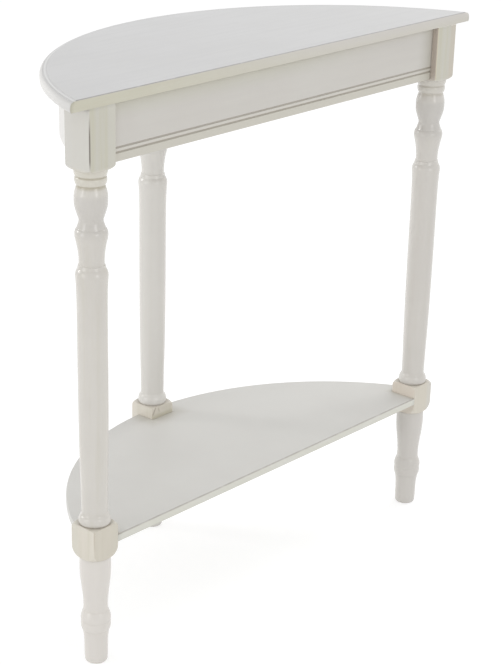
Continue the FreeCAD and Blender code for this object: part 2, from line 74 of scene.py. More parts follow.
def camera_turn():
    """Turn of the camera: forward from heading and tilt, right level with the floor, then rolled."""
    forward = Vector((np.sin(HEADING) * np.cos(TILT), np.cos(HEADING) * np.cos(TILT), -np.sin(TILT)))
    level = forward.cross(Vector((0, 0, 1))).normalized()
    upright = level.cross(forward)
    right = level * np.cos(ROLL) + upright * np.sin(ROLL)
    up = upright * np.cos(ROLL) - level * np.sin(ROLL)
    return Matrix((right, up, -forward)).transposed()


lens = bpy.data.cameras.new("camera")
lens.sensor_width = 36.0
lens.lens = FOCAL_PIXELS * lens.sensor_width / PICTURE_HEIGHT
lens.shift_x = (PICTURE_WIDTH / 2 - LENS_AXIS[0]) / PICTURE_HEIGHT
lens.shift_y = (LENS_AXIS[1] - PICTURE_HEIGHT / 2) / PICTURE_HEIGHT
camera = bpy.data.objects.new("camera", lens)
camera.matrix_world = Matrix.Translation(CAMERA_PLACE) @ camera_turn().to_4x4()
bpy.context.scene.collection.objects.link(camera)
bpy.context.scene.camera = camera
bpy.context.scene.view_settings.view_transform = "Standard"
print("lens", round(lens.lens, 1), "mm, shift", round(lens.shift_x, 4), round(lens.shift_y, 4))

# %% [markdown]
# ## Numbers and colours in a material
# A material's formula is easier to read as a sum than as a drawing of boxes. This small class wraps one
# socket. Adding or multiplying wires makes the Math nodes, and one method makes any other node: it sets the
# node's own settings first, because they can change its sockets, and then plugs in numbers, colours or
# other wires.


# %% Wire up nodes with plain arithmetic
class Wire:
    """One value on its way through a material's nodes."""

    def __init__(self, tree, socket=None):
        self.tree = tree
        self.socket = socket

    def node(self, kind, settings, sockets, output=0):
        """Adds a node, sets it up, fills its sockets and gives the wire that leaves it."""
        made = self.tree.nodes.new("ShaderNode" + kind)
        for name, value in settings.items():
            setattr(made, name, value)
        for name, value in sockets.items():
            if isinstance(value, Wire):
                self.tree.links.new(value.socket, made.inputs[name])
            else:
                made.inputs[name].default_value = value
        return Wire(self.tree, made.outputs[output] if made.outputs else None)

    def maths(self, operation, left, right):
        return self.node("Math", {"operation": operation}, {0: left, 1: right})

    def __add__(self, other):
        return self.maths("ADD", self, other)

    __radd__ = __add__

    def __sub__(self, other):
        return self.maths("SUBTRACT", self, other)

    def __rsub__(self, other):
        return self.maths("SUBTRACT", other, self)

    def __mul__(self, other):
        return self.maths("MULTIPLY", self, other)

    __rmul__ = __mul__

    def __abs__(self):
        return self.maths("ABSOLUTE", self, 0.0)

    def step(self, low, high):
        """Soft step: 0 below low, 1 above high, smooth between them. It falls where low is above high."""
        return self.node("MapRange", {"interpolation_type": "SMOOTHSTEP"},
                         {"Value": self, "From Min": low, "From Max": high})


print("a wire can be added, taken away, multiplied and stepped")


# %% Helpers for every material
def blend(factor, first, second):
    """Colour between two colours: first where the factor is 0 and second where it is 1."""
    return factor.node("Mix", {"data_type": "RGBA"}, {0: factor, 6: first, 7: second}, 2)


def cloudy(place, stretch, detail=3.0):
    """Soft noise about 0.5, whose patches are 1 / stretch metres long on each axis."""
    spread = place.node("VectorMath", {"operation": "MULTIPLY"}, {0: place, 1: stretch})
    return place.node("TexNoise", {}, {"Vector": spread, "Scale": 1.0, "Detail": detail, "Roughness": 0.55})


def palette(**tones):
    """Named tones, each given as red, green and blue, with full cover added."""
    return SimpleNamespace(**{name: (*tone, 1.0) for name, tone in tones.items()})


def layered(colour, tone, **masks):
    """The colour with tones laid over it one after another, each where the mask of its name is 1."""
    for name, mask in masks.items():
        colour = blend(mask, colour, getattr(tone, name))
    return colour


def new_finish(name):
    """Empty material, a wire to start from, its Object coordinates, and those split into x, y and z."""
    material = bpy.data.materials.new(name)
    material.use_nodes = True
    material.node_tree.nodes.clear()
    start = Wire(material.node_tree)
    place = start.node("TexCoord", {}, {}, "Object")
    split = place.node("SeparateXYZ", {}, {0: place})
    axes = [Wire(material.node_tree, socket) for socket in split.socket.node.outputs]
    return material, start, place, axes


print("a tone with its cover:", palette(white=(0.7, 0.7, 0.7)).white)

# %% [markdown]
# ## Floor, air and lamps
# The photograph has a white ground and very soft light. A white floor in soft light would turn grey beside
# a white background, so the camera sees a floor that glows a little, and the part of it that doesn't glow
# still darkens in the shade of the feet. The light itself is plain: even light from all round and four
# lamps. The large one at the left and the small one at the wall side each draw a row of highlights down
# the legs. The one at the right lights their inner faces, and the one on the bow side lays the bow leg's
# soft shadow on the shelf.

# %% Make the floor and the air
AIR_LIGHT = 0.765
FLOOR_REACH = 30.0
FLOOR_GLOW = 0.62
FLOOR_SHOWN = 0.50
FLOOR_BOUNCE = 0.93


def seen_directly(wire):
    """1 for rays from the camera, a reflection or a clear material, and 0 for the light on surfaces."""
    rays = wire.node("LightPath", {}, {}, "Is Camera Ray").socket.node.outputs
    camera_ray, glossy, through = (Wire(wire.tree, rays[name]) for name in
                                   ("Is Camera Ray", "Is Glossy Ray", "Is Transmission Ray"))
    return wire.maths("MAXIMUM", wire.maths("MAXIMUM", camera_ray, glossy), through)


floor_paint, start, _, _ = new_finish("floor_paint")
shown = start.node("AddShader", {}, {
    0: start.node("BsdfDiffuse", {}, {"Color": (FLOOR_SHOWN, FLOOR_SHOWN, FLOOR_SHOWN, 1)}),
    1: start.node("Emission", {}, {"Strength": FLOOR_GLOW})})
bounce = start.node("BsdfDiffuse", {}, {"Color": (FLOOR_BOUNCE, FLOOR_BOUNCE, FLOOR_BOUNCE, 1)})
surface = start.node("MixShader", {}, {0: seen_directly(start), 1: bounce, 2: shown})
start.node("OutputMaterial", {}, {"Surface": surface})

floor_mesh = bpy.data.meshes.new("floor")
side = FLOOR_REACH
corners = [(-side, -side, 0), (side, -side, 0), (side, side, 0), (-side, side, 0)]
floor_mesh.from_pydata(corners, [], [(0, 1, 2, 3)])
floor_mesh.materials.append(floor_paint)
floor = bpy.data.objects.new("floor", floor_mesh)
bpy.context.scene.collection.objects.link(floor)

world = bpy.data.worlds.new("air")
world.use_nodes = True
world.node_tree.nodes.clear()
air = Wire(world.node_tree)
seen = seen_directly(air)
glow = air.node("Background", {}, {"Color": (1, 1, 1, 1), "Strength": seen + (1 - seen) * AIR_LIGHT})
air.node("OutputWorld", {}, {"Surface": glow})
bpy.context.scene.world = world
print("floor", 2 * FLOOR_REACH, "m wide, air light", AIR_LIGHT)

# %% Hang the lamps
TABLE_MIDDLE = Vector((0.0, 0.0, 0.38))


def lamp(name, place, width, height, watts):
    """Soft lamp that faces the middle of the table and that the camera doesn't see."""
    light = bpy.data.lights.new(name, "AREA")
    light.shape = "RECTANGLE"
    light.size, light.size_y = width, height
    light.energy = watts
    hung = bpy.data.objects.new(name, light)
    hung.location = place
    hung.rotation_euler = (TABLE_MIDDLE - Vector(place)).to_track_quat("-Z", "Y").to_euler()
    hung.visible_camera = False
    bpy.context.scene.collection.objects.link(hung)
    print(name, watts, "W")


lamp("left_lamp", place=(-4.10, 1.00, 1.10), width=1.4, height=1.65, watts=22.0)
lamp("wall_side_lamp", place=(-0.50, -2.60, 1.10), width=0.78, height=0.78, watts=8.7)
lamp("right_lamp", place=(2.20, -0.10, 1.90), width=1.4, height=1.2, watts=15.0)
lamp("bow_side_lamp", place=(-1.80, 3.20, 1.50), width=0.65, height=0.65, watts=20.0)

# %% [markdown]
# ## From a grid of points to a piece
# Every painted piece is a grid: one direction runs along a profile and the other along the path that
# carries it. Boxes could be cut and bevelled by hand instead, but a grid takes each size from the solid
# model and puts points only where the surface bends. The helpers join neighbours into faces, close the ends
# with flat ones, and put the result into a mesh that stands for a solid piece. Marks are numbers on the
# points, such as how deep a groove is, and the finishes read them.

# %% Helpers for grids
MM = 0.001
SAME_POINT = 0.01 * MM    # points of a profile that are nearer than this count as one


def tube_faces(shape, around, turned):
    """Faces of a grid closed round its columns or rows, with flat ends. Turned ones look the other way."""
    number = np.arange(shape[0] * shape[1]).reshape(shape)
    if around == "columns":
        tube, ends = np.hstack([number, number[:, :1]]), [number[0, ::-1], number[-1]]
    else:
        tube, ends = np.vstack([number, number[:1]]), [number[:, 0], number[::-1, -1]]
    sides = np.stack([tube[:-1, :-1], tube[:-1, 1:], tube[1:, 1:], tube[1:, :-1]], -1).reshape(-1, 4)
    if turned:
        sides, ends = sides[:, ::-1], [end[::-1] for end in ends]
    return list(sides) + ends


def rounded(corners, before, after, steps=7):
    """Profile through corners, each replaced by a quarter ellipse that starts and ends at given distances.

    A corner P with ends A and B becomes (A (1-w)^2 + 2 P q w (1-w) + B w^2) / ((1-w)^2 + 2 q w (1-w) + w^2),
    with w from 0 to 1 and q the square root of a half."""
    corners = np.asarray(corners, float)
    middle, back, ahead = corners[1:-1], corners[:-2], corners[2:]
    back_way = (back - middle) / np.linalg.norm(back - middle, axis=1, keepdims=True)
    ahead_way = (ahead - middle) / np.linalg.norm(ahead - middle, axis=1, keepdims=True)
    first = (middle + back_way * np.asarray(before)[:, None])[:, None]
    last = (middle + ahead_way * np.asarray(after)[:, None])[:, None]
    w = np.linspace(0, 1, steps)[None, :, None]
    pull = 2 * np.sqrt(0.5) * w * (1 - w)
    bends = (first * (1 - w) ** 2 + middle[:, None] * pull + last * w ** 2) / ((1 - w) ** 2 + pull + w ** 2)
    path = np.vstack([corners[:1], bends.reshape(-1, corners.shape[1]), corners[-1:]])
    apart = np.linalg.norm(np.diff(path, axis=0), axis=1) > SAME_POINT
    return path[np.concatenate([[True], apart])]


print("a tube of 3 by 4 points has", len(tube_faces((3, 4), "columns", False)), "faces")

# %% Put a grid into a mesh
SLOT_OF = {part["node"]: part["material_slot"] for part in frame["record"]["subparts"]}


def make_piece(name, solid, points, marks, finish, around="columns", turned=False):
    """Mesh piece that stands for a solid one, rides with the table and takes its finish."""
    mesh = bpy.data.meshes.new(name)
    faces = tube_faces(points.shape[:2], around, turned)
    mesh.from_pydata(points.reshape(-1, 3), [], [list(face) for face in faces])
    mesh.polygons.foreach_set("use_smooth", np.ones(len(mesh.polygons), bool))
    for mark, values in marks.items():
        layer = mesh.attributes.new(mark, "FLOAT", "POINT")
        layer.data.foreach_set("value", np.asarray(values, np.float32).ravel())
    mesh.materials.append(finish)
    piece = bpy.data.objects.new(name, mesh)
    bpy.context.scene.collection.objects.link(piece)
    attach(piece, "root")
    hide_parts(solid)
    print(name, "stands for", solid, "with", len(mesh.vertices), "points")


print(len(SLOT_OF), "solid pieces in", len(set(SLOT_OF.values())), "finishes")

# %% Read the sizes that the pieces share
top_low, top_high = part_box("top_panel")
shelf_low, shelf_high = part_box("shelf_panel")
apron_low, apron_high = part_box("straight_apron")
curved_low, curved_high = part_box("left_curved_apron")
block_low, block_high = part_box("bow_shelf_block")
WALL_Y = top_low.y
TOP_Z, UNDER_Z = top_high.z, top_low.z
TOP_DEPTH = top_high.y - top_low.y
TOP_RADIUS = (top_high.x ** 2 + TOP_DEPTH ** 2) / (2 * TOP_DEPTH)
ARC_Y = top_high.y - TOP_RADIUS
FRAME_RADIUS = float(np.hypot(curved_high.y - ARC_Y, curved_high.x))
LEG_HALF = (block_high.x - block_low.x) / 2
LEGS = {}
for leg in ("left", "right", "bow"):
    low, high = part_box(leg + "_foot")
    LEGS[leg] = (low + high) / 2
POST_INNER_X = LEGS["right"].x - LEG_HALF
POST_BACK_Y = LEGS["right"].y + LEG_HALF
BOW_INNER_Y = LEGS["bow"].y - LEG_HALF
print("top radius", round(TOP_RADIUS, 4), "m, frame radius", round(FRAME_RADIUS, 4), "m,", len(LEGS), "legs")

# %% [markdown]
# ## Paint
# The table is white paint over a dark ground, rubbed with a cream glaze. The glaze stays in grooves and
# along the end grain, and the ground shows as thin dark lines where the paint broke at an edge or a joint.
# Some lighter and darker tones are painted light and shade, set by how the table is lit.
# A picture of worn paint could be wrapped round each piece, but it would stretch at the turnings and miss
# the real edges. Masks that are worked out from a point's own place fit every edge. All the painted
# finishes share one recipe: a white that drifts slightly from patch to patch, brush strokes along the wood,
# cream and dark masks, and a satin surface with a very low relief.

# %% The shared paint recipe
GROUND = (0.115, 0.095, 0.075, 1.0)
STROKE_RELIEF = 0.3 * MM
STROKES_ACROSS, STROKES_ALONG = 900.0, 22.0    # patches per metre across and along a brush stroke


def stroke_noise(place, along):
    """Fine lines along one axis, as a brush leaves them: noise stretched about 40 times."""
    stretch = [STROKES_ACROSS] * 3
    stretch[along] = STROKES_ALONG
    return cloudy(place, stretch, 2.0)


def satin(finish, colour, strokes, roughness, brushed=0.25):
    """Satin paint: the colour, a roughness that follows the strokes, and the strokes as a low relief."""
    material, start = finish[:2]
    relief = start.node("Bump", {}, {"Strength": brushed, "Distance": STROKE_RELIEF, "Height": strokes})
    shader = start.node("BsdfPrincipled", {}, {"Base Color": colour, "Roughness": roughness + strokes * 0.08,
                                               "Normal": relief})
    start.node("OutputMaterial", {}, {"Surface": shader})
    return material


def drifting(place, light, dark):
    """White that drifts between two close tones in soft patches."""
    return blend(cloudy(place, (9, 9, 9)).step(0.3, 0.7), light, dark)


def mark_on(start, name):
    """A mark that a piece carries on its points."""
    return start.node("Attribute", {"attribute_name": name}, {}, "Fac")


print("paint over a ground of", GROUND[:3])

# %% [markdown]
# ## The half-moon top
# The top's curved edge is moulded: a wide rounded nose, a narrow quirk, a flat band and a small step up to
# the flat. A bevel on a flat plate would round the edge but couldn't give the quirk. A router would run the
# profile round the curve, so here the profile is carried on circles about the centre of the plan, and each
# circle stops where it meets the wall side. Straight rows between the two ends then fill in the wall edge.

# %% Carry the moulding round the top
QUIRK_IN, STEP_IN = 4.4 * MM, 8.4 * MM      # how far they lie inside the rim
NOSE_DROP, QUIRK_DROP, BAND_DROP, STEP_DROP = 2.1 * MM, 2.0 * MM, 1.2 * MM, 0.7 * MM   # and below the flat
UNDER_IN, FLAT_IN = 20.0 * MM, 12.0 * MM    # on the underside and the flat, which are single faces
WALL_ARRIS = 0.7 * MM
ARC_POINTS, WALL_POINTS = 301, 121


def top_profile():
    """Radius and height from the underside, round the nose, over quirk, band and step, to the flat."""
    thick = TOP_Z - UNDER_Z
    corners = np.array([(UNDER_IN, thick), (0.0, thick), (0.0, NOSE_DROP), (QUIRK_IN, QUIRK_DROP),
                        (QUIRK_IN, BAND_DROP), (STEP_IN, STEP_DROP), (STEP_IN, 0.0), (FLAT_IN, 0.0)])
    before = np.array([1.4, 6.5, 0.15, 0.3, 0.3, 0.3]) * MM
    after = np.array([4.4, 4.2, 0.25, 0.5, 0.25, 0.5]) * MM
    shape = rounded(np.array([TOP_RADIUS, TOP_Z]) - corners, before, after, 9)
    return shape[1:-1].T


def make_top(finish):
    """Grid of arcs: x = r sin(a), y = centre + r cos(a), a from -A to A, A = acos((cut - centre) / r)."""
    radius, height = top_profile()
    depth = np.clip((height - TOP_Z) / WALL_ARRIS + 1, 0, 1)
    cut = WALL_Y + WALL_ARRIS * (1 - np.sqrt(1 - depth ** 2))
    share = np.linspace(-1, 1, ARC_POINTS)
    angle = np.arccos((cut - ARC_Y) / radius)[:, None] * share
    x = radius[:, None] * np.sin(angle)
    y = ARC_Y + radius[:, None] * np.cos(angle)
    arc = np.stack(np.broadcast_arrays(x, y, height[:, None]), -1)
    across = np.linspace(1, -1, WALL_POINTS)[1:-1]
    wall = np.stack(np.broadcast_arrays(x[:, -1:] * across, cut[:, None], height[:, None]), -1)
    points = np.concatenate([arc, wall], 1)
    make_piece("top", "top_panel", points, {}, finish, turned=True)


print("moulding of", top_profile().shape[1], "points round a curve of", ARC_POINTS)

# %% [markdown]
# ## The top's paint
# On the flat the white is nearly even, with faint streaks along the grain. On the moulding, painted light
# makes the nose lighter towards its lower part, the band carries a painted highlight, painted shade darkens
# the nose towards the tips at the wall, and the quirk and step hold glaze with painted shade. The wall edge
# is cream with a broken dark arris. The bands of the moulding follow the curve, so they are picked out by
# how far a point lies inside the rim's circle.


# %% Paint the top
def top_paint():
    """Even white on the flat, painted light on the nose and a painted highlight on the band, painted shade
    at the nose tips, glaze with painted shade in the quirk, and a cream wall edge.
    """
    finish = new_finish("white_top")
    _, start, place, (x, y, z) = finish
    tone = palette(light=(0.681, 0.680, 0.681), dark=(0.663, 0.661, 0.659), grain=(0.640, 0.639, 0.640),
                   nose_upper=(0.725, 0.716, 0.700), nose_lower=(0.800, 0.790, 0.770),
                   nose_tips=(0.585, 0.576, 0.560), band=(0.860, 0.860, 0.850), glaze=(0.33, 0.31, 0.27),
                   cream=(0.593, 0.577, 0.474), deep_cream=(0.576, 0.555, 0.450),
                   rubbed=(0.626, 0.602, 0.563))
    colour = layered(drifting(place, tone.light, tone.dark), tone,
                     grain=cloudy(place, (6, 110, 0)).step(0.4, 0.7) * 0.5)

    below = TOP_Z - z
    # painted light: the nose is lighter than the flat, most towards its lower part
    nose = blend(below.step(2 * MM, 7 * MM), tone.nose_upper, tone.nose_lower)
    # painted shade: the nose darkens towards its tips at the wall
    nose = layered(nose, tone, nose_tips=y.step(-0.02, -0.14) * 0.75)
    colour = blend(below.step(1.8 * MM, 2.6 * MM), colour, nose)

    inset = TOP_RADIUS - start.maths("SQRT", x * x + (y - ARC_Y) * (y - ARC_Y), 0.0)
    moulded = below.step(NOSE_DROP + 1.1 * MM, NOSE_DROP + 0.3 * MM)
    past_quirk, past_step = inset - QUIRK_IN, inset - STEP_IN
    band = past_quirk.step(0.6 * MM, 1.4 * MM) * past_step.step(-0.4 * MM, -1.4 * MM)
    quirk = past_quirk.step(-1.0 * MM, -0.1 * MM) * past_quirk.step(1.0 * MM, 0.2 * MM)
    riser = past_step.step(-0.6 * MM, -0.1 * MM) * past_step.step(1.0 * MM, 0.2 * MM)
    # painted highlight on the band, and glaze with painted shade in the quirk and at the step
    colour = layered(colour, tone, band=band * moulded * 0.5, glaze=(quirk * 0.18 + riser * 0.13) * moulded)

    from_wall = y - WALL_Y
    cream = blend(cloudy(place, (30, 30, 160)).step(0.3, 0.7), tone.cream, tone.deep_cream)
    cream = layered(cream, tone, rubbed=x.step(-0.36, 0.18) * (1 - below.step(3 * MM, 12 * MM) * 0.3))
    edge_face = from_wall.step(1.2 * MM, 0.4 * MM) * below.step(0.4 * MM, 1.4 * MM)
    colour = blend(edge_face, colour, cream)
    broken = cloudy(place, (60, 0, 0)).step(0.15, 0.5) * (0.38 + x.step(0.05, -0.35) * 0.12)
    arris = (from_wall + below).step(1.3 * MM, 0.5 * MM)
    colour = blend(arris * broken, colour, GROUND)
    return satin(finish, colour, stroke_noise(place, along=0), roughness=0.55)


make_top(top_paint())

# %% [markdown]
# ## Turned legs
# A leg starts as square stock. The turner leaves the head of a post and the shelf blocks square and cuts
# the rest round, so where square and round meet, the corners end in curved shoulders. A spun profile cut
# into a box would leave thin slivers along those shoulders. A grid of angles and heights shows both: the
# distance from the axis is the square's own distance in that direction, or the turned radius where that is
# smaller.

# %% Shapes round a leg
EDGE_EASE = 1.2 * MM


def leg_angles():
    """160 angles that crowd at the corners: 45 degrees times 1 + 0.15 s + 0.85 s^3, s from -1 to 1."""
    s = np.linspace(-1, 1, 41)[:-1]
    quarter = np.pi / 4 * (1 + 0.15 * s + 0.85 * s ** 3)
    return (quarter[None, :] + np.arange(4)[:, None] * np.pi / 2).ravel()


def square_reach(angle):
    """Distance from the axis to an eased square: the flat face's, or the rounding's near a corner."""
    fold = np.abs((angle + np.pi / 4) % (np.pi / 2) - np.pi / 4)
    flat = LEG_HALF / np.cos(fold)
    inner = LEG_HALF - EDGE_EASE
    along = inner * (np.cos(fold) + np.sin(fold))
    bend = along + np.sqrt(np.maximum(along ** 2 - 2 * inner ** 2 + EDGE_EASE ** 2, 0))
    return np.where(LEG_HALF * np.tan(fold) <= inner, flat, bend)


def soft_least(first, second, softness=0.25 * MM):
    """Smaller of two numbers, with a soft change from one to the other."""
    return -softness * np.logaddexp(-first / softness, -second / softness)


def shoulder(neck_z, neck_radius, square_z, steps=24):
    """Quarter of an ellipse from a neck out to the corners of the square: heights and radii."""
    turn = np.linspace(0, np.pi / 2, steps)
    corner = LEG_HALF * np.sqrt(2)
    heights = neck_z + (square_z - neck_z) * (1 - np.cos(turn))
    return heights, neck_radius + (corner - neck_radius) * np.sin(turn)


reach = square_reach(leg_angles())
print("square stock reaches", round(reach.min(), 4), "to", round(reach.max(), 4), "m from the axis")

# %% [markdown]
# ## The turner's outline
# The turned radii could be typed in once more, but they are already in the solid pieces. Reading them there
# keeps the exact outline of posts and feet. A coat of paint fills sharp corners a little, so the outline is
# evened out over a fraction of a millimetre. The hollows of the same outline say where glaze would gather.

# %% Measure the turned outline
FINE = 0.1 * MM                        # spacing of the heights that the outline is measured at
FILM, FILM_ROWS = 0.3 * MM, 12         # how far a coat of paint evens the outline, and the rows it takes in
ROW_HEIGHT, ROW_TURN = 2.5 * MM, 0.1   # most height and most radians that a row covers
HOLLOW_WIDTH, HOLLOW_DEPTH = 3.5 * MM, 0.5 * MM


def bell(away, width):
    """Weight that falls from 1 with the distance: exp(-(away / width)^2)."""
    return np.exp(-(away / width) ** 2)


def evened(values, spacing, width, rows):
    """Mean of the values around each one, this many to each side, weighted by a bell."""
    weights = bell(np.arange(-rows, rows + 1) * spacing, width)
    return np.convolve(np.pad(values, rows, mode="edge"), weights / weights.sum(), mode="valid")


def measured_profile(solid, axis, highest):
    """Turned profile of a solid: the farthest point from the axis at each height, evened out.

    Rows lie at equal steps of height / ROW_HEIGHT + turn / ROW_TURN, so they crowd where it bends."""
    mesh = frame["nodes"][solid].data
    spots = np.empty(len(mesh.vertices) * 3, np.float32)
    mesh.vertices.foreach_get("co", spots)
    spots = spots.reshape(-1, 3).astype(float)
    reach = np.hypot(spots[:, 0] - axis.x, spots[:, 1] - axis.y)
    outer = (reach > LEG_HALF / 2) & (spots[:, 2] <= highest)
    heights, where = np.unique(np.round(spots[outer, 2], 6), return_inverse=True)
    radii = np.zeros(len(heights))
    np.maximum.at(radii, where, reach[outer])
    z = np.arange(heights[0], heights[-1] + FINE / 2, FINE)
    even = evened(np.interp(z, heights, radii), FINE, FILM, FILM_ROWS)
    turn = np.abs(np.gradient(np.arctan(np.gradient(even, FINE))))
    effort = (z - z[0]) / ROW_HEIGHT + np.cumsum(turn) / ROW_TURN
    chosen = np.interp(np.linspace(0, effort[-1], int(effort[-1]) + 2), effort, z)
    return chosen, np.interp(chosen, z, even)


def hollows(z, radius):
    """How far each row lies inside the mean of the rows around it: 1 for the full depth of a hollow."""
    spacing = 0.25 * MM
    fine = np.arange(z[0], z[-1], spacing)
    outline = np.interp(fine, z, radius)
    mean = evened(outline, spacing, HOLLOW_WIDTH, int(3 * HOLLOW_WIDTH / spacing))
    return np.interp(z, fine, np.clip((mean - outline) / HOLLOW_DEPTH, 0, 1))


print("outlines are measured every", FINE, "m")

# %% [markdown]
# ## Posts, blocks and feet
# Three pieces make a leg, and the legs are the same but for their place. Each piece is a list of heights
# with the turned limit at each height, and where nothing is turned away the limit is open and the square
# shows. Each piece carries three marks for the paint: its grooves, the joint to its neighbour with painted
# shade round it, and the arrises of its square part.

# %% Make a leg piece from its limits
OPEN = 1.0                             # limit where nothing is turned away
ARRIS_TURN = 0.035                     # how wide an arris counts, in radians
SQUARE_FROM, SQUARE_RISE = 1.2, 0.15   # a row counts as square above this many half widths, over this rise
HEAD_Z = apron_low.z - 3 * MM
HEAD_SHOULDER = 5.5 * MM
BLOCK_Z, FOOT_TOP = block_high.z, block_low.z
BLOCK_NECK, BLOCK_RIM = 18.8 * MM, 17.8 * MM
LOWER_SHOULDER, UPPER_SHOULDER = 16 * MM, 6 * MM


def make_leg_piece(name, solid, axis, z, limit, marks, finish):
    """Grid of angles and heights: the distance from the axis is the soft least of square and limit."""
    angle = leg_angles()
    reach = soft_least(square_reach(angle)[None, :], limit[:, None])
    x, y = axis.x + reach * np.cos(angle), axis.y + reach * np.sin(angle)
    points = np.stack(np.broadcast_arrays(x, y, z[:, None]), -1)
    corner = bell(angle % (np.pi / 2) - np.pi / 4, ARRIS_TURN)
    square = np.clip((limit / LEG_HALF - SQUARE_FROM) / SQUARE_RISE, 0, 1)
    marks = {key: np.broadcast_to(values[:, None], reach.shape) for key, values in marks.items()}
    marks["arris"] = corner[None, :] * square[:, None]
    make_piece(name, solid, points, marks, finish)


def make_post(leg, finish):
    """Turned stem, shoulder and square head. The joint mark is a dark line at the base with a wide halo of
    painted shade.
    """
    axis = LEGS[leg]
    z, radius = measured_profile(leg + "_post", axis, HEAD_Z + SAME_POINT)
    # dark joint line at the base, widened by a bell of painted shade
    joint = 0.75 * bell(z - z[0], 1.4 * MM) + 0.25 * bell(z - z[0], 5 * MM)
    rise_z, rise = shoulder(HEAD_Z, radius[-1], HEAD_Z + HEAD_SHOULDER)
    head_z = np.linspace(HEAD_Z + HEAD_SHOULDER + 1 * MM, UNDER_Z, 16)
    rest = np.zeros(rise_z.size - 1 + head_z.size)
    marks = {"groove": np.concatenate([hollows(z, radius), rest]),
             "joint": np.concatenate([joint, rest])}
    make_leg_piece(leg + "_leg_post", leg + "_post", axis, np.concatenate([z, rise_z[1:], head_z]),
                   np.concatenate([radius, rise[1:], np.full(head_z.size, OPEN)]), marks, finish)


def make_foot(leg, finish):
    """Turned calf, rings, ankle and sole, with a faint joint line at the top."""
    axis = LEGS[leg]
    z, radius = measured_profile(leg + "_foot", axis, FOOT_TOP + SAME_POINT)
    marks = {"groove": hollows(z, radius), "joint": 0.12 * bell(z - z[-1], 0.8 * MM)}
    make_leg_piece(leg + "_leg_foot", leg + "_foot", axis, z, radius, marks, finish)


def make_block(leg, finish):
    """Square block between a long lower shoulder and a short upper one, with a flat rim round the post."""
    low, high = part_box(leg + "_shelf_block")
    low_z, low_limit = shoulder(low.z, BLOCK_NECK, low.z + LOWER_SHOULDER, 40)
    high_z, high_limit = shoulder(high.z, LEG_HALF, high.z - UPPER_SHOULDER)
    side_z = np.linspace(low_z[-1], high_z[-1], 12)[1:-1]
    rim = np.linspace(LEG_HALF, BLOCK_RIM, 6)[1:]
    z = np.concatenate([low_z, side_z, high_z[::-1], np.full(rim.size, high.z)])
    limit = np.concatenate([low_limit, np.full(side_z.size, OPEN), high_limit[::-1], rim])
    from_post = np.where(z > side_z[-1], limit, OPEN)
    marks = {"groove": np.zeros(z.size),
             # across the rim round the post the joint fades out: a dark joint with painted shade round it
             "joint": np.interp(from_post, np.array([18.4, 21.0, 26.0]) * MM, [1.0, 0.8, 0.0])}
    make_leg_piece(leg + "_leg_block", leg + "_shelf_block", LEGS[leg], z, limit, marks, finish)


print("heads start at", round(HEAD_Z, 4), "m, blocks run from", round(FOOT_TOP, 4), "to", round(BLOCK_Z, 4))

# %% [markdown]
# ## The coat on the legs
# Posts, blocks and feet were painted together, so one function makes the coat that they share: cream
# streaks up the grain, glaze in the grooves, worn arrises, and dark joints with painted shade round them.
# Each leg has its own wear and its own painted light and shade, so its paint has to know where it is. The
# legs stand far apart, so a step in the empty space between them tells them apart.

# %% The coat that posts, blocks and feet share
ANKLE_Z = 75 * MM    # the rings of a foot lie below this height


def on_leg(across, inner):
    """1 on the leg whose inner face lies at this place, and 0 on the legs across the gap."""
    return across.step(0.3 * inner, 0.6 * inner)


def turned_coat(finish, light, dark, cream_share):
    """The shared coat between two whites with a share of cream, and the mark of the arrises."""
    _, start, place, (_, _, z) = finish
    tone = palette(streak=(0.56, 0.53, 0.42), collar=(0.64, 0.61, 0.50), groove=(0.40, 0.36, 0.27),
                   arris=(0.40, 0.35, 0.27), joint=(0.40, 0.36, 0.31))
    collar = z.step(HEAD_Z - 34 * MM, HEAD_Z - 26 * MM)
    ankle = z.step(ANKLE_Z + 5 * MM, ANKLE_Z - 5 * MM)
    arris = mark_on(start, "arris")
    worn = cloudy(place, (40, 40, 14)).step(0.42, 0.62)
    colour = layered(drifting(place, light, dark), tone,
                     streak=cloudy(place, (160, 160, 9)).step(0.45, 0.75) * cream_share,
                     collar=z.step(HEAD_Z - 24 * MM, HEAD_Z - 18 * MM) * cream_share * 2.2,
                     groove=mark_on(start, "groove") * (0.1 + collar * 0.6 + ankle * 0.5),
                     # worn arrises, and dark joints with painted shade round them
                     arris=arris * worn * 0.35, joint=mark_on(start, "joint") * 0.62)
    return colour, arris


print("rings of the feet lie below", ANKLE_Z, "m")


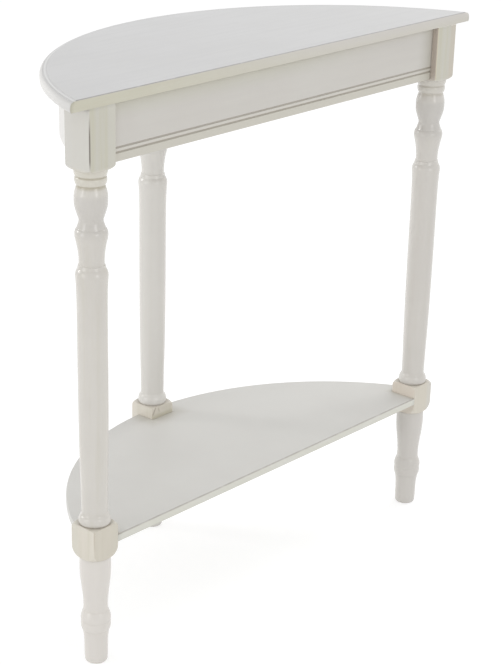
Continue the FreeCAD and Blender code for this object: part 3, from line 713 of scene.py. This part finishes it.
# %% Paint the posts and feet
def glazed_heads(finish, colour, arris):
    """Cream glaze on the wall faces of the heads, painted shade on the left end face, glaze with painted
    shade on the inner faces, and the split arris of the left head.
    """
    _, _, place, (x, y, z) = finish
    tone = palette(cream=(0.557, 0.539, 0.438), pale_cream=(0.575, 0.560, 0.494),
                   inner_strip=(0.625, 0.583, 0.440), right_half=(0.58, 0.522, 0.455),
                   left_half=(0.603, 0.590, 0.535), end_face=(0.612, 0.600, 0.560),
                   inner_face=(0.510, 0.440, 0.373))
    from_wall, from_end = y - WALL_Y, x - LEGS["left"].x + LEG_HALF
    head = z.step(HEAD_Z - 1 * MM, HEAD_Z + 4 * MM)
    glazed = blend(cloudy(place, (150, 0, 5)).step(0.35, 0.65), tone.cream, tone.pale_cream)
    inner_strip = (x - POST_INNER_X).step(3.5 * MM, 0.0) * on_leg(x, POST_INNER_X)
    left_half = (x - LEGS["left"].x).step(2.5 * MM, 16.5 * MM) * on_leg(x, -POST_INNER_X)
    glazed = layered(glazed, tone, inner_strip=inner_strip,
                     right_half=(x - LEGS["right"].x).step(3.5 * MM, 13.5 * MM) * 0.6,
                     left_half=left_half * 0.7)
    colour = blend(from_wall.step(0.9 * MM, 0.2 * MM) * head, colour, glazed)
    # dark glaze with painted shade on the inner faces in the recess beside the aprons, lighter at the bottom
    inner_face = (abs(x) - POST_INNER_X).step(0.8 * MM, 0.2 * MM) * (1 - on_leg(y, BOW_INNER_Y)) * head
    inner_glaze_and_shade = 0.65 + z.step(HEAD_Z, HEAD_Z + 14 * MM) * 0.2
    # painted shade: the end face of the left head is darker
    colour = layered(colour, tone, end_face=from_end.step(0.9 * MM, 0.2 * MM) * head * 0.85,
                     inner_face=inner_face * inner_glaze_and_shade)
    split = from_end.step(2 * MM, 1 * MM) * from_wall.step(2 * MM, 1 * MM) * arris.step(0.25, 0.75)
    stretch = z.step(UNDER_Z - 4 * MM, UNDER_Z - 34 * MM) * z.step(HEAD_Z + 2 * MM, HEAD_Z + 16 * MM)
    return blend(split * stretch * 0.8, colour, GROUND)


def leg_paint():
    """The shared coat, with painted light and shade in the tones of the feet, the bow and right legs, the
    bow sides and the vases, and glazed heads.
    """
    finish = new_finish("white_leg")
    _, _, place, (x, y, z) = finish
    tone = palette(light=(0.662, 0.638, 0.593), dark=(0.630, 0.604, 0.562), left_foot=(0.750, 0.715, 0.675),
                   right_foot=(0.655, 0.630, 0.595), bow_leg=(0.720, 0.705, 0.672),
                   right_leg=(0.598, 0.573, 0.543), bow_side=(0.722, 0.704, 0.672), vase=(0.56, 0.54, 0.51))
    colour, arris = turned_coat(finish, tone.light, tone.dark, cream_share=0.18)
    right, bow = on_leg(x, POST_INNER_X), on_leg(y, BOW_INNER_Y)
    # painted light and shade: the feet are lighter, and the left foot is lighter than the right one
    foot = z.step(FOOT_TOP + 3.5 * MM, FOOT_TOP - 4.5 * MM)
    foot_light_and_shade = blend(x.step(-0.2, 0.2), tone.left_foot, tone.right_foot)
    colour = blend(foot * 0.7, colour, foot_light_and_shade)
    # painted light: each leg's bow side is lighter
    axis_y = LEGS["right"].y + bow * (LEGS["bow"].y - LEGS["right"].y)
    bow_side = (y - axis_y + right * (5 * MM)).step(4 * MM, 15 * MM)
    # painted shade: the vases under the top are greyer, the right one most
    vase = z.step(HEAD_Z - 85 * MM, HEAD_Z - 65 * MM) * z.step(HEAD_Z - 26 * MM, HEAD_Z - 34 * MM)
    # painted light on the bow leg and painted shade on the right leg
    colour = layered(colour, tone, bow_leg=bow * 0.6, right_leg=right * 0.5, bow_side=bow_side * 0.8,
                     vase=vase * (0.55 + right * 0.25))
    colour = glazed_heads(finish, colour, arris)
    return satin(finish, colour, stroke_noise(place, along=2), roughness=0.20, brushed=0.04)


leg_white = leg_paint()
print("legs in", leg_white.name)

# %% [markdown]
# ## Paint for the blocks
# The blocks are creamier than the posts, because their end grain drinks the glaze, and knocks have cracked
# the paint of the bow block and darkened an arris of the left one. A crack is a thin straight mark in a
# flat face, so a small formula for the distance to a line draws it.


# %% Paint the blocks
def crack(across, up, begin, end, width):
    """Straight crack in a flat face, between two points of that face: 1 in its middle and 0 beside it.

    With d the direction from begin to end, a point p lies (p - begin) . d along the crack, and the
    cross product of the two beside it."""
    run, rise = end[0] - begin[0], end[1] - begin[1]
    length = float(np.hypot(run, rise))
    across, up = across - begin[0], up - begin[1]
    along = across * (run / length) + up * (rise / length)
    beside = abs(across * (rise / length) - up * (run / length))
    on_length = along.step(-width, width) * along.step(length + width, length - width)
    return beside.step(width, width * 0.3) * on_length


def block_paint():
    """The shared coat in cream, with the cracks and rubbed faces of each block, and painted shade at the
    foot of the bow block's wall face.
    """
    finish = new_finish("white_block")
    _, _, place, (x, y, z) = finish
    tone = palette(light=(0.718, 0.680, 0.600), dark=(0.680, 0.636, 0.556), end_grain=(0.64, 0.63, 0.55),
                   left_arris=(0.42, 0.35, 0.26), inner_face=(0.71, 0.63, 0.55),
                   wall_face=(0.604, 0.562, 0.472), wall_corner=(0.618, 0.608, 0.572),
                   bow_face=(0.640, 0.597, 0.520), bow_lower=(0.48, 0.46, 0.33), crack=(0.30, 0.25, 0.19))
    colour, arris = turned_coat(finish, tone.light, tone.dark, cream_share=0.35)
    left, from_wall, from_rim = on_leg(x, -POST_INNER_X), y - WALL_Y, z - BLOCK_Z
    turned_away = abs(x - LEGS["left"].x - (y - LEGS["left"].y)).step(22 * MM, 36 * MM)
    left_arris = arris * left * from_wall.step(4 * MM, 2 * MM) * from_rim.step(-32 * MM, -8 * MM)
    inner_face = (x - POST_INNER_X).step(0.8 * MM, 0.2 * MM) * on_leg(x, POST_INNER_X)
    wall_face = from_wall.step(1.2 * MM, 0.4 * MM)
    wall_corner = wall_face * (x - LEGS["right"].x).step(5.5 * MM, 15.5 * MM)
    bow_face = (y - BOW_INNER_Y).step(1.2 * MM, 0.4 * MM) * on_leg(y, BOW_INNER_Y)
    # painted shade: the bow block's wall face turns olive and darker towards its foot
    bow_lower = bow_face * from_rim.step(-8 * MM, -15 * MM)
    long_crack = crack(x, from_rim, (-13.7 * MM, -0.7 * MM), (-19.0 * MM, -10.5 * MM), 1.6 * MM) * 0.55
    short_crack = crack(x, from_rim, (-8.6 * MM, -2.5 * MM), (-6.6 * MM, -8.5 * MM), 1.4 * MM) * 0.3
    colour = layered(colour, tone, end_grain=left * turned_away * 0.5, left_arris=left_arris * 0.4,
                     inner_face=inner_face * 0.6, wall_face=wall_face * 0.6, wall_corner=wall_corner * 0.6,
                     bow_face=bow_face * 0.4, bow_lower=bow_lower * 0.5,
                     crack=(long_crack + short_crack) * bow_face)
    return satin(finish, colour, stroke_noise(place, along=2), roughness=0.12, brushed=0.04)


block_white = block_paint()
for leg in LEGS:
    make_post(leg, leg_white)
    make_block(leg, block_white)
    make_foot(leg, leg_white)

# %% [markdown]
# ## Aprons
# The straight apron has a bead near its lower edge: two narrow grooves that a scratch stock cuts with the
# grain. Its section is carried along X, because a groove cut into a box would have hard edges. The curved
# aprons are plain bent boards with an eased lower edge, so their section is carried on circles, as the
# top's moulding is, from post to post.

# %% Make the straight apron
INTO_LEG = 1.0 * MM    # how far the end of an apron or of the shelf is hidden in a leg
GROOVES = (apron_low.z + 10.75 * MM, apron_low.z + 16.25 * MM)
GROOVE_RADIUS, GROOVE_DEPTH = 1.3 * MM, 1.1 * MM
BEAD_LOW, BEAD_HIGH = apron_low.z + 9 * MM, apron_low.z + 20 * MM    # the stretch with fine rows
BEAD_ROW = 0.15 * MM
ALONG_POINTS, BEND_POINTS = 121, 161
LOWER_EASE, BACK_EASE = 1.5 * MM, 0.5 * MM


def groove_depth(z):
    """Depth of the two round-bottomed grooves at each height."""
    away = np.min(np.abs(z[:, None] - np.array(GROOVES)), 1)
    bottom = np.sqrt(np.maximum(GROOVE_RADIUS ** 2 - away ** 2, 0))
    return np.maximum(bottom - GROOVE_RADIUS + GROOVE_DEPTH, 0)


def make_straight_apron(finish):
    """Closed section of front, back and edges, carried along X from post to post."""
    front, back = apron_low.y, apron_high.y
    ease = [BACK_EASE, LOWER_EASE]
    section = rounded([(back, BEAD_HIGH), (back, apron_low.z), (front, apron_low.z),
                       (front, apron_low.z + 6 * MM)], ease, ease)
    bead_z = np.arange(BEAD_LOW, BEAD_HIGH, BEAD_ROW)
    face_z = np.concatenate([bead_z, np.linspace(BEAD_HIGH, apron_high.z, 10)])
    depth = groove_depth(face_z)
    face = np.column_stack([front + depth, face_z])
    section = np.vstack([section[1:], face, [(back, apron_high.z)]])
    dark = np.zeros(len(section))
    dark[-1 - len(face):-1] = depth / GROOVE_DEPTH
    x = np.linspace(-POST_INNER_X - INTO_LEG, POST_INNER_X + INTO_LEG, ALONG_POINTS)
    points = np.stack(np.broadcast_arrays(x[None, :], section[:, :1], section[:, 1:]), -1)
    marks = {"groove": np.broadcast_to(dark[:, None], points.shape[:2])}
    make_piece("wall_side_apron", "straight_apron", points, marks, finish, around="rows")


print("grooves at", [round(z, 4) for z in GROOVES], "m")

# %% Make a curved apron
APRON_THICK = apron_high.y - apron_low.y
UPPER_EASE = 0.2 * MM


def make_curved_apron(leg, side, finish):
    """Eased section on circles: the angle runs from where a circle enters the bow post to the end post."""
    inner, outer = FRAME_RADIUS - APRON_THICK, FRAME_RADIUS
    low, high = curved_low.z, curved_high.z
    middle = (low + high) / 2
    ease = [BACK_EASE, LOWER_EASE, UPPER_EASE, UPPER_EASE]
    corners = [(inner, middle), (inner, low), (outer, low), (outer, high), (inner, high), (inner, middle)]
    section = rounded(corners, ease, ease)[:-1]
    radius, height = section[:, :1], section[:, 1:]
    first = np.arcsin((LEG_HALF - INTO_LEG) / radius)
    last = np.arccos((POST_BACK_Y - INTO_LEG - ARC_Y) / radius)
    angle = first + (last - first) * np.linspace(0, 1, BEND_POINTS)
    x, y = side * radius * np.sin(angle), ARC_Y + radius * np.cos(angle)
    points = np.stack(np.broadcast_arrays(x, y, height), -1)
    marks = {"groove": np.zeros(points.shape[:2])}
    make_piece(leg + "_bent_apron", leg + "_curved_apron", points, marks, finish, "rows", turned=side > 0)


print("curved aprons are", round(APRON_THICK, 4), "m thick")

# %% [markdown]
# ## Paint for the aprons
# The straight apron was brushed along its length. Glaze was left near the top and in the two grooves.
# Painted shade lies under the top's overhang, glaze and painted shade darken the corners beside the posts,
# and a painted highlight lightens the bead between the grooves. The bent aprons are plain, and painted
# light makes them whiter, so one finish serves all three and a step behind the straight one divides them.


# %% Paint the aprons
def apron_paint():
    """Slightly pink white with strokes along the board, a painted highlight on the bead, dark glaze in
    its grooves, painted shade under the top, glaze with painted shade in the corners, and painted light
    on the bent aprons.
    """
    finish = new_finish("white_apron")
    _, start, place, (x, y, z) = finish
    tone = palette(light=(0.614, 0.595, 0.556), dark=(0.600, 0.576, 0.538), grain=(0.585, 0.563, 0.527),
                   upper=(0.545, 0.540, 0.440), under_top=(0.52, 0.49, 0.41), bead=(0.635, 0.612, 0.558),
                   lower_edge=(0.585, 0.563, 0.493), bent=(0.745, 0.733, 0.707), corner=(0.42, 0.40, 0.33),
                   groove=(0.24, 0.205, 0.155))
    # painted light: the bent aprons are whiter
    bent = y.step(apron_high.y + 5 * MM, apron_high.y + 15 * MM)
    # glaze with painted shade in the corners beside the posts
    left_corner = (POST_INNER_X + x).step(16 * MM, 0.0) * (1 - bent)
    right_corner = (POST_INNER_X - x).step(32 * MM, 4 * MM) * (1 - bent)
    colour = layered(drifting(place, tone.light, tone.dark), tone,
                     grain=cloudy(place, (6, 0, 110)).step(0.4, 0.7) * 0.5,
                     upper=z.step(UNDER_Z - 26 * MM, UNDER_Z) * x.step(0.25, -0.05) * 0.6,
                     # painted shade under the top's overhang
                     under_top=z.step(UNDER_Z - 12 * MM, UNDER_Z) * 0.4,
                     # painted highlight: the bead between the grooves is lighter
                     bead=z.step(GROOVES[1] + 1 * MM, GROOVES[1]) * 0.8,
                     lower_edge=z.step(GROOVES[0] + 1 * MM, GROOVES[0]) * 0.8,
                     bent=bent, corner=left_corner * 0.3 + right_corner * 0.45,
                     groove=mark_on(start, "groove").step(0.1, 0.7) * 0.5)
    return satin(finish, colour, stroke_noise(place, along=0), roughness=0.36)


apron_white = apron_paint()
make_straight_apron(apron_white)
make_curved_apron("left", -1, apron_white)
make_curved_apron("right", 1, apron_white)

# %% [markdown]
# ## The shelf
# The shelf follows the curve of the aprons and is cut round the three blocks. A flat plate with a Bevel
# would ease all its edges alike, but here the curve is eased more than the sawn edges. So its outline is a
# closed path, and the edge is a profile carried along it with an easing for each point. The two flat sides
# are single faces.

# %% Make the shelf
CURVE_EASE, SAWN_EASE = 1.5 * MM, 0.5 * MM
CURVE_POINTS, FRONT_POINTS = 141, 61


def shelf_outline():
    """Corners and curve of the shelf seen from above, with the easing of each point's edge."""
    end_x, end_y = POST_INNER_X + INTO_LEG, POST_BACK_Y - INTO_LEG
    bow_x, bow_y = LEG_HALF - INTO_LEG, BOW_INNER_Y + INTO_LEG
    outermost = np.arccos((end_y - ARC_Y) / FRAME_RADIUS)
    innermost = np.arcsin(bow_x / FRAME_RADIUS)
    angle = np.linspace(outermost, innermost, CURVE_POINTS)
    curve = np.column_stack([FRAME_RADIUS * np.sin(angle), ARC_Y + FRAME_RADIUS * np.cos(angle)])
    front = np.column_stack([np.linspace(-end_x, end_x, FRONT_POINTS), np.full(FRONT_POINTS, WALL_Y)])
    mirrored = curve[::-1] * [-1, 1]
    outline = np.vstack([front, [(end_x, end_y)], curve, [(bow_x, bow_y), (-bow_x, bow_y)], mirrored,
                         [(-end_x, end_y)]])
    ease = np.full(len(outline), SAWN_EASE)
    right_curve = FRONT_POINTS + 1
    ease[right_curve:right_curve + CURVE_POINTS] = CURVE_EASE
    ease[-1 - CURVE_POINTS:-1] = CURVE_EASE
    return outline, ease


def make_shelf(finish):
    """Rows of the outline moved inwards: by the easing at both faces and by nothing in mid-edge."""
    outline, ease = shelf_outline()
    ahead = np.roll(outline, -1, 0) - outline
    ahead /= np.linalg.norm(ahead, axis=1, keepdims=True)
    normal = np.column_stack([ahead[:, 1], -ahead[:, 0]])
    before = np.roll(normal, 1, 0)
    out = (normal + before) / (1 + np.sum(normal * before, 1, keepdims=True))
    turn = np.linspace(0, np.pi / 2, 8)
    inset, lift = 1 - np.sin(turn), 1 - np.cos(turn)
    inset, lift = np.concatenate([inset, inset[::-1]]), np.concatenate([lift, -lift[::-1]])
    base = np.repeat([shelf_low.z, shelf_high.z], len(turn))
    plan = outline[None] - out[None] * (inset[:, None] * ease)[:, :, None]
    height = base[:, None] + lift[:, None] * ease
    points = np.concatenate([plan, height[:, :, None]], -1)
    make_piece("lower_shelf", "shelf_panel", points, {}, finish)


print("shelf outline of", len(shelf_outline()[0]), "points")

# %% [markdown]
# ## Paint for the shelf
# The flat is a cool white. A painted shadow lies round each block, widest at the bow block, and a dark
# joint line with painted shade runs right at each block's foot. The wall edge is a greenish cream with a
# broken dark line along its upper arris, and painted shade darkens the lower arris and the underside. How
# far a point lies outside a block's square gives the ring of painted shadow, and the two distances to the
# edge give the arris.

# %% Paint the shelf
# how far the painted shadow reaches out from each block
SHADOW_WIDTH = {"left": 9 * MM, "right": 10 * MM, "bow": 24 * MM}


def shelf_paint():
    """Cool white on the flat, painted shadow round the blocks, and a cream wall edge with a dark upper
    arris and painted shade along the lower one.
    """
    finish = new_finish("white_shelf")
    _, start, place, (x, y, z) = finish
    tone = palette(light=(0.671, 0.664, 0.636), dark=(0.653, 0.643, 0.616), glaze=(0.42, 0.39, 0.31),
                   joint=(0.28, 0.25, 0.20), cream=(0.700, 0.695, 0.640), deep_cream=(0.678, 0.673, 0.602),
                   arris=(0.25, 0.22, 0.18), lower_edge=(0.45, 0.44, 0.36))
    colour = drifting(place, tone.light, tone.dark)
    for leg, axis in LEGS.items():
        # painted shadow round each block, and a dark joint line with painted shade at its foot
        outside = start.maths("MAXIMUM", abs(x - axis.x), abs(y - axis.y)) - LEG_HALF
        colour = layered(colour, tone, glaze=outside.step(SHADOW_WIDTH[leg], 0.0) * 0.35,
                         joint=outside.step(2.5 * MM, 0.5 * MM) * 0.3)
    from_wall, below = y - WALL_Y, shelf_high.z - z
    edge_face = from_wall.step(0.9 * MM, 0.3 * MM) * below.step(0.2 * MM, 0.8 * MM)
    cream = blend(cloudy(place, (25, 25, 120)).step(0.3, 0.7), tone.cream, tone.deep_cream)
    broken = 0.4 + cloudy(place, (50, 0, 0)).step(0.25, 0.6) * 0.6
    arris = (from_wall + below).step(2.0 * MM, 0.5 * MM)
    colour = layered(blend(edge_face, colour, cream), tone, arris=arris * broken * 0.5,
                     # painted shade at the lower arris and on the underside
                     lower_edge=(z - shelf_low.z).step(1.2 * MM, 0.2 * MM) * 0.35)
    return satin(finish, colour, stroke_noise(place, along=0), roughness=0.45, brushed=0.1)


make_shelf(shelf_paint())

# %% [markdown]
# ## The pieces under the top
# Braces, glue blocks, cleat and dowels are bare wood, and the screws, studs and inserts are plated steel.
# They could be made again too, but no paint softens them, so they keep the solid model's own shapes and
# only get a finish.


# %% Bare wood and plated steel
def bare_wood():
    """Planed pale wood: growth rings stretched along X, with fine dark pores."""
    finish = new_finish("planed_wood")
    place = finish[2]
    tone = palette(early=(0.60, 0.45, 0.29), late=(0.50, 0.35, 0.21), pore=(0.30, 0.20, 0.11))
    rings = cloudy(place, (9, 90, 140), 4.0).step(0.3, 0.7)
    pores = cloudy(place, (40, 1400, 1400), 2.0).step(0.62, 0.75)
    colour = blend(pores * 0.5, blend(rings, tone.early, tone.late), tone.pore)
    return satin(finish, colour, pores, roughness=0.62)


def plated_steel():
    """Zinc plating: grey metal with small cloudy changes in tone and shine."""
    material, start, place, _ = new_finish("zinc_steel")
    tone = palette(bright=(0.62, 0.61, 0.58), dull=(0.50, 0.50, 0.49))
    clouds = cloudy(place, (500, 500, 500))
    colour = blend(clouds.step(0.3, 0.7), tone.bright, tone.dull)
    shader = start.node("BsdfPrincipled", {}, {"Base Color": colour, "Metallic": 1.0,
                                               "Roughness": 0.28 + clouds * 0.2})
    start.node("OutputMaterial", {}, {"Surface": shader})
    return material


hidden_finishes = {"bare_wood": bare_wood(), "plated_steel": plated_steel()}
for node, finish in SLOT_OF.items():
    if finish in hidden_finishes:
        for slot in frame["nodes"][node].material_slots:
            slot.material = hidden_finishes[finish]
        print(node, "gets", finish)
